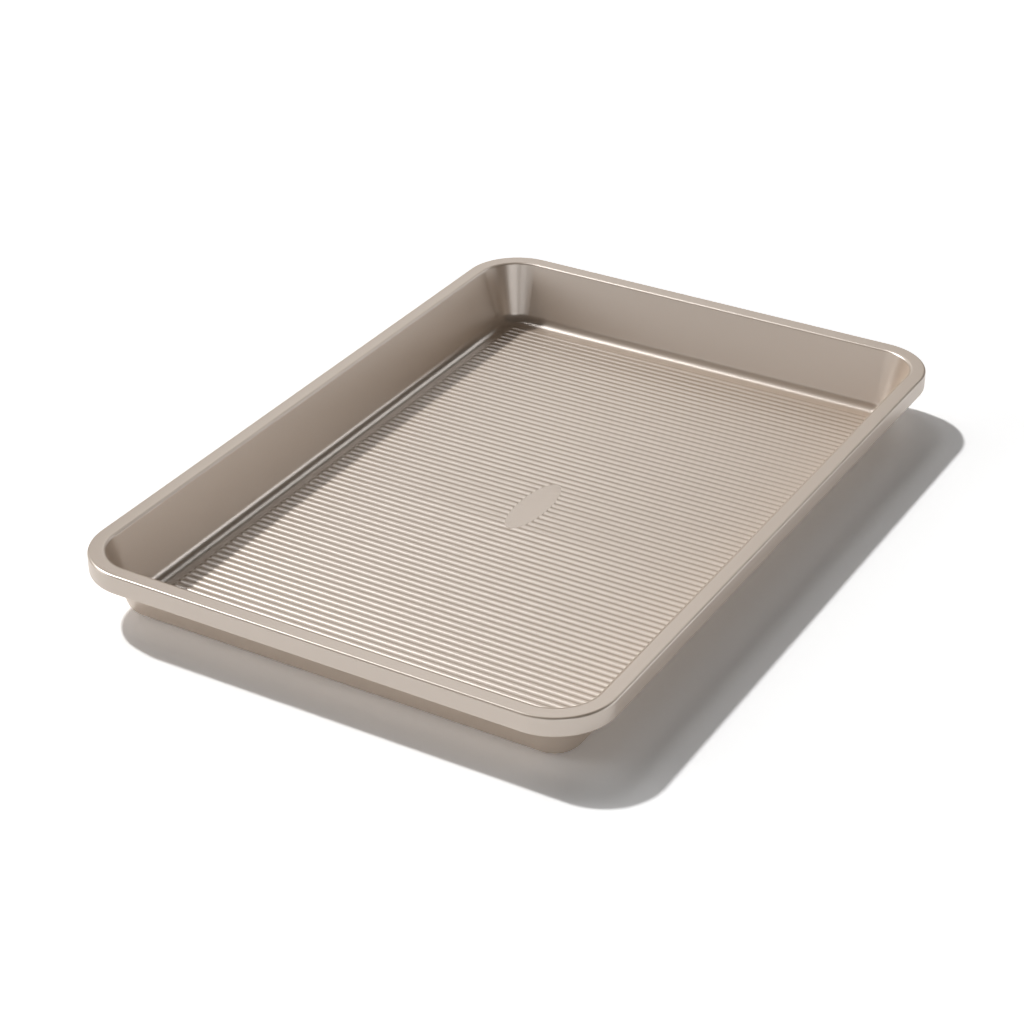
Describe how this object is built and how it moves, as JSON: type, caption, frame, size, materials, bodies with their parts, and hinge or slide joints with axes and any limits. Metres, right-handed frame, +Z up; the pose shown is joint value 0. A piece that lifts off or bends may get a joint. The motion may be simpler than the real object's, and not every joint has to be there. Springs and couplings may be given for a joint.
{
  "type": "jelly roll pan",
  "caption": "Shallow rectangular baking pan pressed from coated steel sheet, with leaning walls, round corners, a finely ribbed floor and a square-rolled rim.",
  "frame": {"origin": "centre of the pan's underside, on the surface that it stands on", "axes": "+X along the pan's length, +Y across it, +Z up out of the pan"},
  "size_m": [0.4154, 0.287, 0.0345],
  "materials": {
    "coated_steel": "satin metallic release coating on aluminised steel sheet",
    "steel_wire": "drawn bright steel wire"
  },
  "bodies": {
    "root": {"pan_body": "coated_steel", "rim_wire": "steel_wire"}
  },
  "joints": []
}
